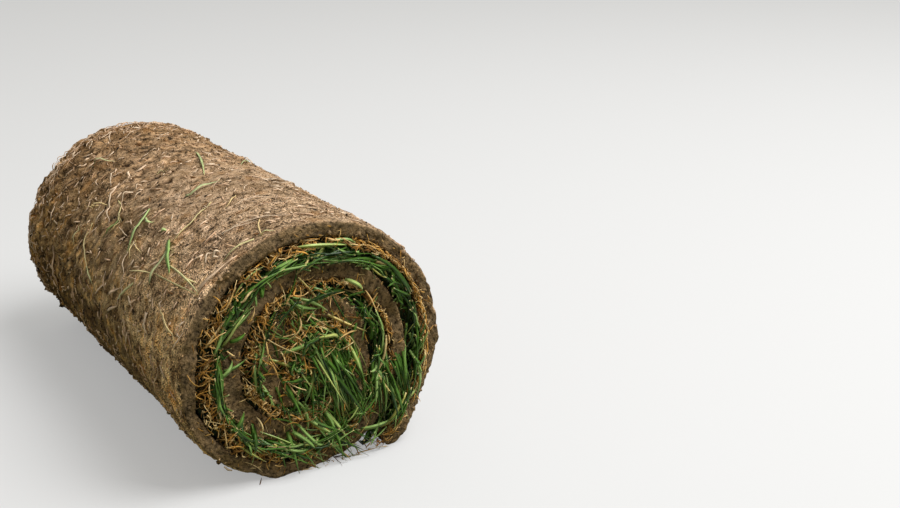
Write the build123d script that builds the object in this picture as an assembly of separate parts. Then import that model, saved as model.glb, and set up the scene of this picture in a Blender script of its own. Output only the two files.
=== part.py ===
"""A roll of turf: one strip of lawn, cut with a thin mat of soil under it and rolled up with the grass inside.

The roll lies on level ground with its axis along Y. The origin is on the ground, under the middle of the roll.
The strip winds inwards anticlockwise, seen from the -Y end: its tail touches the ground at the lower right, and its
start is folded into the core. Upper half turns are arcs about one centre and lower half turns are arcs about a second
centre half a pitch to the left, so every arc runs smoothly into the next and all layers stay concentric. The soil
face is the outside of the strip. The roll's weight presses its underside, and the lip of the tail, flat, and the soft
roll has sunk more towards the +Y end, so it is lofted between sections that get lower along the roll.
"""

from build123d import *
import math
import os

# Driving dimensions, in millimetres
strip_width = 400.0  # length of the roll, the width that the strip was cut to
soil_thickness = 13.0  # soil and roots
sward_thickness = 17.5  # dead stems and leaves, pressed between two turns of soil
core_radius = 18.0  # room left in the middle, filled by the leaves of the start
full_turns = 3
bed_sink = 2.5  # how much of the lowest turn the weight presses flat
lip_sink = 4.0  # how much of the lip of the tail is pressed flat on the ground
far_sag = 9.0  # how much lower the top of the roll lies at the far end than at the near end
edge_recess = 5.0  # how far the pressed grass stays behind the cut edges of the soil
crumbled_edge = 3.0  # soil lost along both edges of the soil face

# What follows from them
pitch = soil_thickness + sward_thickness
roll_radius = core_radius + full_turns * pitch
tail_radius = roll_radius + pitch / 2
axis_height = roll_radius - pitch / 2 - bed_sink
tail_angle = math.degrees(math.asin((axis_height + lip_sink) / tail_radius))
upper_centre = (0, axis_height)
lower_centre = (-pitch / 2, axis_height)
half_turn = 180.0
near_end, far_end = -strip_width / 2, strip_width / 2


def winding(depth, turns):
    """The line of the strip at one depth under its soil face, from the cut of the tail to the end of that turn."""
    arcs = [CenterArc(lower_centre, tail_radius - depth, -tail_angle, tail_angle)]
    for turn in range(turns):
        upper_radius = roll_radius - turn * pitch - depth
        arcs.append(CenterArc(upper_centre, upper_radius, 0, half_turn))
        arcs.append(CenterArc(lower_centre, upper_radius - pitch / 2, half_turn, half_turn))
    return arcs


def section(outer, inner, y):
    """The band between two windings at one place along the roll, as low as the roll has sunk there."""
    tail_cut = Line(inner[0] @ 0, outer[0] @ 0)
    start_cut = Line(outer[-1] @ 1, inner[-1] @ 1)
    band = make_face([*outer, start_cut, *inner, tail_cut])
    height = 1 - far_sag / (axis_height + roll_radius) * (y - near_end) / strip_width
    return Plane.XZ.offset(-y) * scale(band, by=(1, height, 1))


def soil_mat():
    """The mat of soil and roots, crumbled along both edges and pressed flat where it meets the ground."""
    inside = winding(soil_thickness, full_turns)
    outside, crumbled = winding(0, full_turns), winding(crumbled_edge, full_turns)
    mat = loft([
        section(crumbled, inside, near_end),
        section(outside, inside, near_end + crumbled_edge),
        section(outside, inside, far_end - crumbled_edge),
        section(crumbled, inside, far_end),
    ], ruled=True)
    return split(mat, bisect_by=Plane.XY, keep=Keep.TOP)


def grass():
    """The grass, filling the room between the turns of soil and the core."""
    under_soil = winding(soil_thickness, full_turns)
    on_next_turn = winding(pitch, full_turns - 1)
    return loft([section(under_soil, on_next_turn, y) for y in (near_end + edge_recess, far_end - edge_recess)], ruled=True)


os.makedirs("parts", exist_ok=True)
export_step(soil_mat(), "parts/soil_mat.step")
export_step(grass(), "parts/grass.step")
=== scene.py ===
import math

import bmesh
import bpy
import numpy as np
from bpy.props import FloatProperty, FloatVectorProperty, IntProperty, PointerProperty
from mathutils import Euler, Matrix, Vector, noise


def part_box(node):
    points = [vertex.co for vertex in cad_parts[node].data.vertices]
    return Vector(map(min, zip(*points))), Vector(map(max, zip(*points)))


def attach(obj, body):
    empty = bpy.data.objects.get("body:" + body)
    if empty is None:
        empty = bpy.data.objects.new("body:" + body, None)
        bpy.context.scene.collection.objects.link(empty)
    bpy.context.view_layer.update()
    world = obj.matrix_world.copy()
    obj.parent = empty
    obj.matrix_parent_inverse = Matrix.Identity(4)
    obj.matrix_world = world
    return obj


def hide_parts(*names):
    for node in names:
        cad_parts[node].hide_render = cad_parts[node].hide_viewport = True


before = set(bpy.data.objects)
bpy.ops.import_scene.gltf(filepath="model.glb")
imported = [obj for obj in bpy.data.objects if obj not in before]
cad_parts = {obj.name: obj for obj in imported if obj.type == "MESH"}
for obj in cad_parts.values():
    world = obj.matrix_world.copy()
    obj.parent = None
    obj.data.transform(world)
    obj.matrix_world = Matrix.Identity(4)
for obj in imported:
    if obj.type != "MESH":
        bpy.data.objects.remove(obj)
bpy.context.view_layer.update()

bl_info = {
    "name": "Roll of turf",
    "version": (1, 0, 0),
    "blender": (4, 5, 0),
    "location": "View3D > Sidebar > Turf",
    "description": "Dresses a rolled strip of lawn with crumbly soil, roots, dead stems and leaves",
    "category": "Object",
}

# The strip and its winding, from the frame, in metres and radians
SOIL_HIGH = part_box("soil_mat")[1]
HALF_WIDTH = SOIL_HIGH.y
ROLL_RADIUS = SOIL_HIGH.x
SOIL = SOIL_HIGH.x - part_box("grass")[1].x
PITCH = 0.0305
BED_SINK = 0.0025
LIP_SINK = 0.004
FAR_SAG = 0.009
AXIS_HEIGHT = ROLL_RADIUS - PITCH / 2 - BED_SINK
FULL_TURNS = 3
TAIL_TURN = -math.asin((AXIS_HEIGHT + LIP_SINK) / (ROLL_RADIUS + PITCH / 2))
SEEN_END = math.tau - 0.7
CORE_END = FULL_TURNS * math.tau
LAST_TURN = CORE_END - 1e-6
NEAR, FAR = -1, 1

# How unevenly the strip was cut and wound
EVEN_UNTIL = 5.0
WANDER = 0.0014
THICKER_START = 0.0045
THINNER_TAIL = 0.0015

# Leaves, stems and roots: thickness by width, droop, where painted shade (with a little dampness) darkens
# them, and how they clear floor and soil
LEAF_FLATNESS = 0.14
ROOT_FLATNESS = 0.4
DROOP = 18
DAMP_AND_SHADE_FROM = 0.0005
DAMP_AND_SHADE_DEPTH = 0.009
CLEAR_OF_FLOOR = 0.0006
CLEAR_OF_SOIL = 0.0005


def smooth(t):
    """Eases from 0 to 1."""
    t = np.clip(t, 0, 1)
    return t * t * (3 - 2 * t)


def radius_at(turn, depth=0.0):
    """Radius of the winding at an angle wound so far and a depth under the soil face."""
    return ROLL_RADIUS - np.floor(turn / math.pi) * PITCH / 2 - depth


def left_at(turn):
    """How far left the centre of this half turn lies."""
    return (np.floor(turn / math.pi) % 2) * PITCH / 2


def wander(turn):
    """How far an inner turn lies outside its even winding."""
    waves = np.sin(2.3 * turn + 0.7) + 0.6 * np.sin(5.1 * turn + 2.0) + 0.35 * np.sin(11.7 * turn)
    return WANDER * waves * smooth((turn - EVEN_UNTIL) / 1.5)


def soil_at(turn):
    """Thickness of the soil, which was cut thicker towards the start of the strip."""
    thicker = THICKER_START * smooth((turn - math.tau - 1.2) / 2.5)
    return SOIL + thicker - THINNER_TAIL * (1 - smooth((turn - EVEN_UNTIL) / 2.0))


def thatch_at(turn):
    """Share of the room between two turns of soil that the dead stems at the foot of the grass take up."""
    return 0.50 + 0.32 * np.cos(turn - 3.4) + 0.08 * np.sin(7.3 * turn)


def gap_at(turn):
    """Depth at which the soil face of the next turn lies, under the soil face of this one."""
    return PITCH + wander(turn) - wander(turn + math.tau)


def outwards(turn):
    """Direction away from the middle of the roll."""
    turn = np.asarray(turn, float)
    return np.stack((np.cos(turn), np.zeros_like(turn), np.sin(turn)), axis=-1)


def on_strip(turn, depth, y):
    """Points of the wound strip."""
    turn, depth, y = np.broadcast_arrays(turn, depth, y)
    radius = radius_at(turn, depth) + wander(turn)
    return np.stack((radius * np.cos(turn) - left_at(turn), y, AXIS_HEIGHT + radius * np.sin(turn)), axis=-1)


def depth_of(points, turn):
    """Depth under the soil face of points of the even winding, whose angles are known."""
    return radius_at(turn) - np.hypot(points[:, 0] + left_at(turn), points[:, 2] - AXIS_HEIGHT)


def winding_length(turn):
    """Length of the soil face from the tail to an angle of the winding."""
    marks = np.linspace(TAIL_TURN, LAST_TURN, 2000)
    return np.interp(turn, marks, np.cumsum(radius_at(marks) * (marks[1] - marks[0])))


def settled(points):
    """Lowers points as the soft roll has sunk towards its far end, and keeps them above the floor."""
    sunk = np.array(points, float)
    along = np.clip((sunk[..., 1] + HALF_WIDTH) / (2 * HALF_WIDTH), 0, 1)
    sunk[..., 2] *= 1 - FAR_SAG / (AXIS_HEIGHT + ROLL_RADIUS) * along
    sunk[..., 2] = np.maximum(sunk[..., 2], 0)
    return sunk


def ends(seed):
    """Both ends of the roll: which way each faces, its name and its own random numbers."""
    for end, label in ((NEAR, "near"), (FAR, "far")):
        yield end, label, np.random.default_rng(seed + (end == FAR))


def length(name, description, default):
    """A length that the user may change."""
    return FloatProperty(name=name, description=description, default=default, unit="LENGTH")


def number(name, description, default):
    """A count that the user may change."""
    return IntProperty(name=name, description=description, default=default)


def colour(name, description, *default):
    """A colour that the user may change."""
    return FloatVectorProperty(name=name, description=description, default=default, subtype="COLOR")


class TurfSizes(bpy.types.PropertyGroup):
    """Sizes and numbers of what the strip is made of."""

    unevenness: length("Unevenness", "Height of the long waves of the soil face", 0.0018)
    lump_height: length("Lump height", "Height of the soil's lumps", 0.0015)
    crumb_height: length("Crumb height", "Height of the soil's small crumbs", 0.0009)
    ragged_edge: length("Ragged edge", "How far the cut edges wander", 0.0030)
    edge_radius: length("Edge radius", "Rounding of the crumbled edges", 0.0034)
    leaf_width: length("Leaf width", "Widest leaf", 0.0040)
    leaf_length: length("Leaf length", "Longest pressed leaf", 0.058)
    stem_width: length("Stem width", "Thickest dead stem", 0.0018)
    leaves_per_end: number("Leaves", "Pressed leaves at each end", 950)
    stems_per_end: number("Stems", "Dead stems at each end", 3400)
    root_ends: number("Root ends", "Cut roots that stick out of each end", 200)
    flecks: number("Flecks", "Short bits of straw on the soil face", 1650)
    fibres: number("Fibres", "Long pale roots on the soil face", 70)
    rim_roots: number("Rim roots", "Roots along the far rim of the soil face", 260)
    crumbs: number("Crumbs", "Loose crumbs of soil on the soil face", 2200)
    grains: number("Grains", "Small crumbs on the soil face", 15000)
    edge_crumbs: number("Edge crumbs", "Crumbs of soil on each cut edge", 900)


class TurfColours(bpy.types.PropertyGroup):
    """Colours, as linear red, green and blue."""

    # Dark soil, and painted shade in the pits
    dark_soil_and_pit_shade: colour("Dark soil", "Pits", 0.130, 0.080, 0.040)
    soil: colour("Soil", "Moist soil", 0.340, 0.228, 0.132)
    soil_pale: colour("Pale soil", "Dry crumbs", 0.560, 0.400, 0.262)
    soil_rust: colour("Rusty soil", "Soil full of rotted roots", 0.34, 0.175, 0.060)
    cut_soil: colour("Cut soil", "Cut edges", 0.178, 0.120, 0.062)
    straw: colour("Straw", "Dead stems", 0.74, 0.38, 0.075)
    chip: colour("Chips", "Bits on the soil", 0.70, 0.47, 0.30)
    chip_pale: colour("Pale chips", "Bleached bits on the soil", 0.84, 0.65, 0.46)
    straw_pale: colour("Pale straw", "Bleached stems", 0.86, 0.64, 0.31)
    straw_dark: colour("Dark straw", "Rotted stems", 0.15, 0.062, 0.016)
    leaf_dark: colour("Dark leaf", "Shaded leaves", 0.015, 0.042, 0.006)
    leaf: colour("Leaf", "Green leaves", 0.115, 0.250, 0.032)
    leaf_pale: colour("Pale leaf", "Light leaves", 0.37, 0.54, 0.17)
    leaf_dry: colour("Dry leaf", "Leaves dried on the soil", 0.60, 0.62, 0.32)
    leaf_yellow: colour("Yellow leaf", "Dying leaves", 0.58, 0.50, 0.12)
    floor: colour("Floor", "Studio floor", 0.40, 0.40, 0.40)
    floor_shade: colour("Floor shade", "What the floor throws back on the roll", 0.14, 0.15, 0.065)


# Meshes


def linked(name, data):
    """A new object in the scene."""
    made = bpy.data.objects.new(name, data)
    bpy.context.scene.collection.objects.link(made)
    return made


def new_piece(name, mesh, material, slot, *replaced):
    """Links a mesh as a piece of the roll, rides it on the roll and gives it its finish."""
    mesh.materials.append(material)
    piece = linked(name, mesh)
    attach(piece, "root")
    if replaced:
        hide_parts(*replaced)


def set_attribute(mesh, name, values, kind="FLOAT"):
    """Stores an attribute of a mesh's points."""
    layer = mesh.attributes.new(name, kind, "POINT")
    layer.data.foreach_set("value" if kind == "FLOAT" else "vector", values.astype(np.float32).ravel())


def finished(mesh, name):
    """Turns a bmesh into a mesh."""
    data = bpy.data.meshes.new(name)
    mesh.to_mesh(data)
    mesh.free()
    return data


def prototype(mesh):
    """Vertices and faces of a small shape that is copied many times, as an array and a list."""
    mesh.verts.index_update()
    points = np.array([vertex.co for vertex in mesh.verts])
    faces = [[vertex.index for vertex in face.verts] for face in mesh.faces]
    mesh.free()
    return points, faces


def strand_shape(rings):
    """A three-sided strand along Z, one unit to each ring."""
    mesh = bmesh.new()
    bmesh.ops.create_cone(mesh, cap_ends=True, segments=3, radius1=1, radius2=1, depth=rings - 1)
    bmesh.ops.translate(mesh, verts=mesh.verts, vec=(0, 0, (rings - 1) / 2))
    sides = [edge for edge in mesh.edges if abs(edge.verts[0].co.z - edge.verts[1].co.z) > 0.5]
    bmesh.ops.subdivide_edges(mesh, edges=sides, cuts=rings - 2)
    return prototype(mesh)


def crumb_shape(small):
    """A small lump, of twenty faces or of eight."""
    mesh = bmesh.new()
    if small:
        bmesh.ops.create_uvsphere(mesh, u_segments=4, v_segments=2, radius=1)
    else:
        bmesh.ops.create_icosphere(mesh, subdivisions=1, radius=1)
    return prototype(mesh)


def joined(name, points, faces, **attributes):
    """One mesh of many copies. points is copies by vertices by 3, and each attribute copies by vertices."""
    copies, per_copy = points.shape[:2]
    starts = np.arange(copies) * per_copy
    all_faces = [[start + vertex for vertex in face] for start in starts.tolist() for face in faces]
    mesh = bpy.data.meshes.new(name)
    mesh.from_pydata(points.reshape(-1, 3), [], all_faces)
    for attribute, values in attributes.items():
        set_attribute(mesh, attribute, np.broadcast_to(values, (copies, per_copy)))
    mesh.update()
    return mesh


def unit(vectors):
    """Vectors of length one."""
    return vectors / np.maximum(np.linalg.norm(vectors, axis=-1, keepdims=True), 1e-9)


def strand_piece(name, finish, slot, paths, facing, width, flatness, twist, tone, point, between_turns=True):
    """A piece of strands bent along paths (strand by ring by 3). A strand's flat side faces `facing`, turned
    by twist radians about the path. It is `flatness` of its width thick, and narrows to `point` of it at the
    tip. Strands between the turns get painted shade, with a little dampness, that darkens them the deeper
    they lie behind the end. Any that the floor cuts are left out."""
    paths = settled(paths)
    above = paths[..., 2].min(axis=1) > 0
    facing = np.broadcast_to(facing, paths.shape)
    paths, facing, width, thickness, twist, tone = (
        given[above] for given in (paths, facing, width, width * flatness, twist, tone)
    )
    copies, rings = paths.shape[:2]
    shape, faces = strand_shape(rings)
    ring = np.rint(shape[:, 2]).astype(int)
    along = np.linspace(0, 1, rings)
    tangent = unit(np.gradient(paths, axis=1))
    across = unit(np.cross(tangent, facing))
    normal = np.cross(across, tangent)
    turned = np.broadcast_to(twist.reshape(copies, -1, 1), (copies, rings, 1))
    side = across * np.cos(turned) + normal * np.sin(turned)
    up = np.cross(tangent, side)
    taper = (1 - (1 - point) * smooth((along - 0.55) / 0.45)) * (0.7 + 0.3 * smooth(along / 0.2))
    half = width[:, None] / 2 * taper
    deep = thickness[:, None] * taper
    points = (
        paths[:, ring]
        + side[:, ring] * (shape[:, 0] * half[:, ring])[..., None]
        + up[:, ring] * (shape[:, 1] * deep[:, ring])[..., None]
    )
    points[..., 2] = np.maximum(points[..., 2], 0)
    # Painted shade: strands between the turns darken the deeper they lie behind the end face, partly for
    # dampness
    behind = HALF_WIDTH - DAMP_AND_SHADE_FROM - np.abs(points[..., 1])
    damp = smooth(behind / DAMP_AND_SHADE_DEPTH) if between_turns else np.zeros((1, 1))
    mesh = joined(name, points, faces, tone=tone[:, None], along=along[ring][None, :], damp=damp)
    mesh.shade_smooth()
    new_piece(name, mesh, finish, slot)


# Paths


def spread_turns(random, count, first, last):
    """Angles along the winding, evenly spread over its length."""
    turn = np.linspace(first, last, 500)
    wound = np.cumsum(radius_at(turn, SOIL))
    return np.interp(random.random(count), wound / wound[-1], turn)


def curves(rings, start, pull, finish):
    """Even steps along curves that leave start towards pull and end at finish."""
    steps = np.linspace(0, 1, rings)[None, :, None]
    start, pull, finish = start[:, None], pull[:, None], finish[:, None]
    return start * (1 - steps) ** 2 + pull * 2 * steps * (1 - steps) + finish * steps**2


def bent(places, rings):
    """Even steps along curves through three places each. places is (curve, 3, ...)."""
    start, through, finish = (places[:, place] for place in range(3))
    return curves(rings, start, 2 * through - (start + finish) / 2, finish)


def pressed_paths(random, end, turn, depth, inset, reach, heading, bend, wave, rings, jut):
    """Paths of length `reach` in the strip, at one end of the roll. depth is the first and the last depth,
    inset how far behind the cut edge they start, and heading the angle from the winding to the outside of the
    end. What leaves the edge droops, within `jut` of it."""
    steps = np.linspace(0, 1, rings)[None, :]
    towards = heading[:, None] + bend[:, None] * steps
    stride = (reach / (rings - 1))[:, None]
    wound = np.cumsum(np.cos(towards) * stride, axis=1)
    out = np.cumsum(np.sin(towards) * stride, axis=1) - inset[:, None]
    out = np.where(out > 0, jut * np.tanh(out / jut), out)
    phase = steps * random.uniform(3, 11, (len(turn), 1)) + random.uniform(0, 6, (len(turn), 1))
    turns = turn[:, None] + wound / radius_at(turn, SOIL)[:, None]
    turns = np.clip(turns, TAIL_TURN - 0.12, CORE_END)
    depths = depth[0][:, None] * (1 - steps) + depth[1][:, None] * steps + wave[:, None] * np.sin(phase)
    paths = on_strip(turns, depths, end * (HALF_WIDTH + out))
    paths[..., 2] -= DROOP * np.maximum(out, 0) ** 2 * (1 + steps)
    return paths, outwards(turns)


def draped_paths(random, end, rings, count, source, target, inside, reach, rest):
    """Paths that leave the end face at source and hang to target, both (x, height over the axis, spread).
    They start `inside` the face, bulge to `reach` in front of it and end `rest` in front of it."""

    def spots(place, lift):
        blur = random.normal(0, place[2], (count, 3)) * (1, 0.25, 1)
        return blur + (place[0], end * (HALF_WIDTH + lift), AXIS_HEIGHT + place[1])

    start = spots(source, -inside)
    finish = spots(target, rest)
    middle = start * 0.55 + finish * 0.45
    middle[:, 1] = end * (HALF_WIDTH + reach * random.uniform(0.7, 1.5, count))
    middle[:, 2] += np.abs(start[:, 2] - finish[:, 2]) * random.uniform(0.0, 0.35, count)
    middle[:, 0] += random.normal(0, 0.006, count)
    paths = curves(rings, start, middle, finish)
    paths[..., 2] = np.maximum(paths[..., 2], CLEAR_OF_FLOOR)
    return paths


def strewn_paths(random, end, rings, count, middle, spread, reach, heading, lift):
    """Bent paths strewn over an end face about `middle` (x, height over the axis). reach is the range of
    their lengths, heading a mean angle and its scatter, and lift how far in front of the face they lie."""
    steps = np.linspace(-0.5, 0.5, rings)[None, :]
    stride = random.uniform(*reach, (count, 1)) / (rings - 1)
    towards = random.normal(*heading, (count, 1)) + random.normal(0, 0.9, (count, 1)) * steps
    across = np.cumsum(np.cos(towards) * stride, axis=1)
    up = np.cumsum(np.sin(towards) * stride, axis=1)
    x = middle[0] + random.normal(0, spread, (count, 1)) + across - across.mean(axis=1, keepdims=True)
    z = AXIS_HEIGHT + middle[1] + random.normal(0, spread, (count, 1)) + up - up.mean(axis=1, keepdims=True)
    out = random.uniform(*lift, (count, 1)) + random.normal(0, 0.006, (count, 1)) * steps
    return np.stack((x, end * (HALF_WIDTH + out), np.maximum(z, CLEAR_OF_FLOOR)), axis=-1)


def placed_paths(random, end, rings, places, lift):
    """Paths bent through three places on an end face: across and up from the axis, in millimetres."""
    spots = np.asarray(places, float).reshape(-1, 3, 2) / 1000
    out = random.uniform(*lift, (len(spots), 3)) * (0.4, 1.3, 0.8)
    spots = np.stack((spots[..., 0], end * (HALF_WIDTH + out), AXIS_HEIGHT + spots[..., 1]), axis=-1)
    return bent(spots, rings)


def edge_drop(place, edge):
    """How far the strip's rounded edge lies under its face, HALF_WIDTH - |place| in from its corner."""
    past = np.clip((np.abs(place) - HALF_WIDTH + edge) / edge, 0, 1)
    return edge * (1 - np.sqrt(1 - past**2))


def face_height(turn, y, sizes):
    """How far the lumpy soil face stands out of the even winding."""
    place = np.stack(np.broadcast_arrays(winding_length(turn), y, 0.0), axis=-1)
    waves, lumps, _ = crumbled(place.reshape(-1, 3), sizes)
    return (waves + lumps).reshape(place.shape[:-1]) - edge_drop(y, sizes.edge_radius)


def lying_paths(rings, places, lift, sizes):
    """Paths arched over the soil face through three places each: angle in degrees and y in millimetres."""
    steps = np.linspace(0, 1, rings)[None, :]
    spots = bent(np.asarray(places, float).reshape(-1, 3, 2), rings)
    turn = np.radians(spots[..., 0])
    inside = HALF_WIDTH - sizes.edge_radius
    y = np.clip(spots[..., 1] / 1000, -inside, inside)
    arch = lift[:, None] * np.sin(math.pi * steps) ** 2 + CLEAR_OF_SOIL
    return on_strip(turn, -arch - face_height(turn, y, sizes), y), outwards(turn)


# Materials


def rgba(shade):
    """A colour or the strength of a grey, as an opaque colour."""
    return (shade, shade, shade, 1) if isinstance(shade, (int, float)) else (*shade, 1)


class Nodes:
    """The nodes of a material or of the studio's light, and ways to add to them."""

    def __init__(self, owner):
        owner.use_nodes = True
        self.owner = owner
        self.nodes = owner.node_tree.nodes
        self.links = owner.node_tree.links

    def feed(self, socket, value):
        """Links a socket to another one, or sets its value."""
        if isinstance(value, bpy.types.NodeSocket):
            self.links.new(value, socket)
        else:
            socket.default_value = rgba(value) if socket.type == "RGBA" else value

    def node(self, kind, inputs=(), **settings):
        """A new node with its settings, and with its inputs linked or set."""
        made = self.nodes.new(kind)
        for setting, value in settings.items():
            setattr(made, setting, value)
        for name, value in dict(inputs).items():
            self.feed(made.inputs[name], value)
        return made

    def attribute(self, name, output="Fac"):
        """Reads an attribute of the piece."""
        return self.node("ShaderNodeAttribute", attribute_name=name).outputs[output]

    def noise(self, place, scale, detail=2.0, roughness=0.5):
        """A noise at a place."""
        inputs = {"Vector": place, "Scale": scale, "Detail": detail, "Roughness": roughness}
        return self.node("ShaderNodeTexNoise", inputs).outputs["Fac"]

    def stretched(self, place, share):
        """Places for a pattern that is drawn out along the winding."""
        return self.node("ShaderNodeMapping", {"Vector": place, "Scale": (share, 1.0, 1.0)}).outputs["Vector"]

    def between(self, value, low, high):
        """Grows from 0 to 1 as a value goes from low to high."""
        inputs = {"Value": value, "From Min": low, "From Max": high}
        return self.node("ShaderNodeMapRange", inputs).outputs["Result"]

    def added(self, first, second, **settings):
        """The sum of two values."""
        return self.node("ShaderNodeMath", {0: first, 1: second}, **settings).outputs["Value"]

    def ramp(self, source, *stops):
        """A colour ramp of (position, colour or grey) stops."""
        made = self.node("ShaderNodeValToRGB", {"Fac": source})
        elements = made.color_ramp.elements
        while len(elements) < len(stops):
            elements.new(0.5)
        for element, (position, shade) in zip(elements, stops):
            element.position = position
            element.color = rgba(shade)
        return made.outputs["Color"]

    def mix(self, kind, factor, first, second):
        """Two colours mixed by a socket or a number."""
        made = self.node("ShaderNodeMix", data_type="RGBA", blend_type=kind)
        given = {"Factor_Float": factor, "A_Color": first, "B_Color": second}
        for socket in made.inputs:
            if socket.identifier in given:
                self.feed(socket, given[socket.identifier])
        return next(socket for socket in made.outputs if socket.identifier == "Result_Color")

    def times(self, first, second, factor=1.0):
        """Two colours multiplied, as far as the factor says."""
        return self.mix("MULTIPLY", factor, first, second)

    def surface(self, shade, roughness, specular=0.5, height=None, distance=0.0, strength=1.0):
        """Sets the surface's colour and gloss, and its bump where a height is given."""
        inputs = self.nodes["Principled BSDF"].inputs
        self.feed(inputs["Base Color"], shade)
        self.feed(inputs["Roughness"], roughness)
        self.feed(inputs["Specular IOR Level"], specular)
        if height is not None:
            bump = self.node("ShaderNodeBump", {"Height": height, "Distance": distance, "Strength": strength})
            self.feed(inputs["Normal"], bump.outputs["Normal"])
        return self.owner


def soil_material(colours):
    """Crumbly soil: scraped and pale, with painted shade in its pits, cracks and hollows, on its underside
    and in the furrows between the far clods, painted light on the near shoulder and on the clods' tops, rusty
    and darker towards the far end, and darker on the cut edges."""
    made = Nodes(bpy.data.materials.new("crumbly soil"))
    mix, ramp, times = made.mix, made.ramp, made.times
    place = made.attribute("strip_place", "Vector")
    split = made.node("ShaderNodeSeparateXYZ", {"Vector": place}).outputs
    scraped, drawn_out, combed = (made.stretched(place, share) for share in (0.85, 0.55, 0.50))
    shaded_cracks = made.node("ShaderNodeTexVoronoi", {"Vector": scraped, "Scale": 85.0}, feature="DISTANCE_TO_EDGE")
    fine = made.noise(place, 800.0, 3.0, 0.65)
    # Dark spots of painted shade for small pits
    pit_shade_spots = made.noise(place, 135.0)
    patches = made.noise(place, 42.0, 3.0, 0.60)
    broad = made.noise(place, 13.0)
    lumps = made.noise(scraped, 105.0, 4.0, 0.62)
    clods = made.noise(drawn_out, 95.0, 3.0, 0.55)
    streaks = made.noise(combed, 150.0, 4.0, 0.65)

    along = made.between(split["Y"], -HALF_WIDTH, HALF_WIDTH)
    nearness = ramp(along, (0.14, 1), (0.45, 0))
    farness = ramp(along, (0.20, 0), (0.60, 1))
    round_side, lit_shoulder, below = (
        made.between(split["X"], winding_length(first), winding_length(last))
        for first, last in ((2.1, 3.0), (1.75, 2.35), (3.0, 3.2))
    )
    # Where painted shade falls on the underside
    underside_shade = times(below, ramp(along, (0.08, 0), (0.32, 1)))
    in_patches = times(round_side, ramp(patches, (0.40, 0.30), (0.56, 1)))
    in_patches = times(in_patches, ramp(along, (0.15, 0.40), (0.55, 1)))

    near_grain = made.noise(scraped, 340.0, 3.0, 0.60)
    far_grain = made.noise(drawn_out, 210.0, 3.0, 0.60)
    grain = mix("MIX", farness, near_grain, far_grain)
    # Painted shade in the pits of the grain, at the near and the far end
    near_pit_shade = ramp(grain, (0.36, 0.18), (0.42, 0.86), (0.58, 1.10))
    far_pit_shade = ramp(grain, (0.34, 0.30), (0.45, 0.88), (0.60, 1.22))
    # Partly tint, mostly painted light on the tops of the far clods and painted shade in the furrows between
    # them
    clod_tint_and_shading = ramp(clods, (0.36, (0.60, 0.56, 0.52)), (0.50, 1), (0.62, (1.22, 1.18, 1.14)))
    # Low parts of the lumps take the dark soil and the painted shade of the pits; high parts take the pale,
    # dry crumbs
    face = ramp(lumps, (0.30, colours.dark_soil_and_pit_shade), (0.43, colours.soil), (0.60, colours.soil_pale))
    face = times(face, ramp(fine, (0.32, 0.70), (0.50, 1), (0.68, 1.30)))
    face = times(face, mix("MIX", farness, near_pit_shade, far_pit_shade))
    face = times(face, clod_tint_and_shading, farness)
    # Painted shade in small pits
    face = times(face, ramp(pit_shade_spots, (0.31, 0.12), (0.38, 1)))
    cracked = ramp(patches, (0.40, 1), (0.52, 0))
    # Painted shade in the cracks, where the patches are cracked
    face = times(face, ramp(shaded_cracks.outputs["Distance"], (0.0, 0.25), (0.07, 1)), cracked)
    # Painted shade darkens the soil inside the hollows
    face = times(face, ramp(made.attribute("hollow_shade"), (0.30, 1), (0.75, (0.24, 0.20, 0.16))))
    face = mix("MIX", ramp(patches, (0.57, 0), (0.70, 0.6)), face, colours.soil_rust)
    face = times(face, ramp(broad, (0.34, (0.78, 0.74, 0.68)), (0.66, (1.16, 1.14, 1.12))))
    blotches = (0.38, (0.52, 0.475, 0.36)), (0.51, (1.08, 1.14, 1.03)), (0.64, (1.53, 1.51, 1.20))
    face = times(face, ramp(patches, *blotches), round_side)
    face = times(face, ramp(streaks, (0.38, 0.22), (0.48, 0.92), (0.61, (1.60, 1.46, 1.24))), in_patches)
    face = times(face, ramp(fine, (0.36, 0.40), (0.50, 0.98), (0.64, (1.50, 1.49, 1.48))), nearness)
    crisp = ramp(fine, (0.38, 0.62), (0.50, 1.10), (0.62, (1.64, 1.60, 1.53)))
    face = times(face, crisp, times(nearness, round_side))
    # Painted light: the shoulder of the near end made brighter
    face = times(face, (1.26, 1.25, 1.28), times(nearness, lit_shoulder))
    # Painted shade on the underside of the roll
    face = times(face, (0.56, 0.54, 0.46), underside_shade)
    face = times(face, ramp(along, (0.40, 1), (0.75, (0.88, 0.83, 0.74)), (1.0, (0.72, 0.64, 0.50))))

    # Painted shade in the pits of the cut edges
    fresh = times(colours.cut_soil, ramp(grain, (0.36, 0.28), (0.45, 0.88), (0.60, 1.48)))
    fresh = times(fresh, ramp(lumps, (0.36, 0.52), (0.47, 0.98), (0.62, (1.32, 1.26, 1.18))))
    height = mix("ADD", 0.6, lumps, grain)
    height = mix("ADD", 0.35, height, fine)
    height = mix("ADD", farness, height, clods)
    return made.surface(mix("MIX", made.attribute("cut"), face, fresh), 0.95, 0.15, height, 0.0028)


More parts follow.
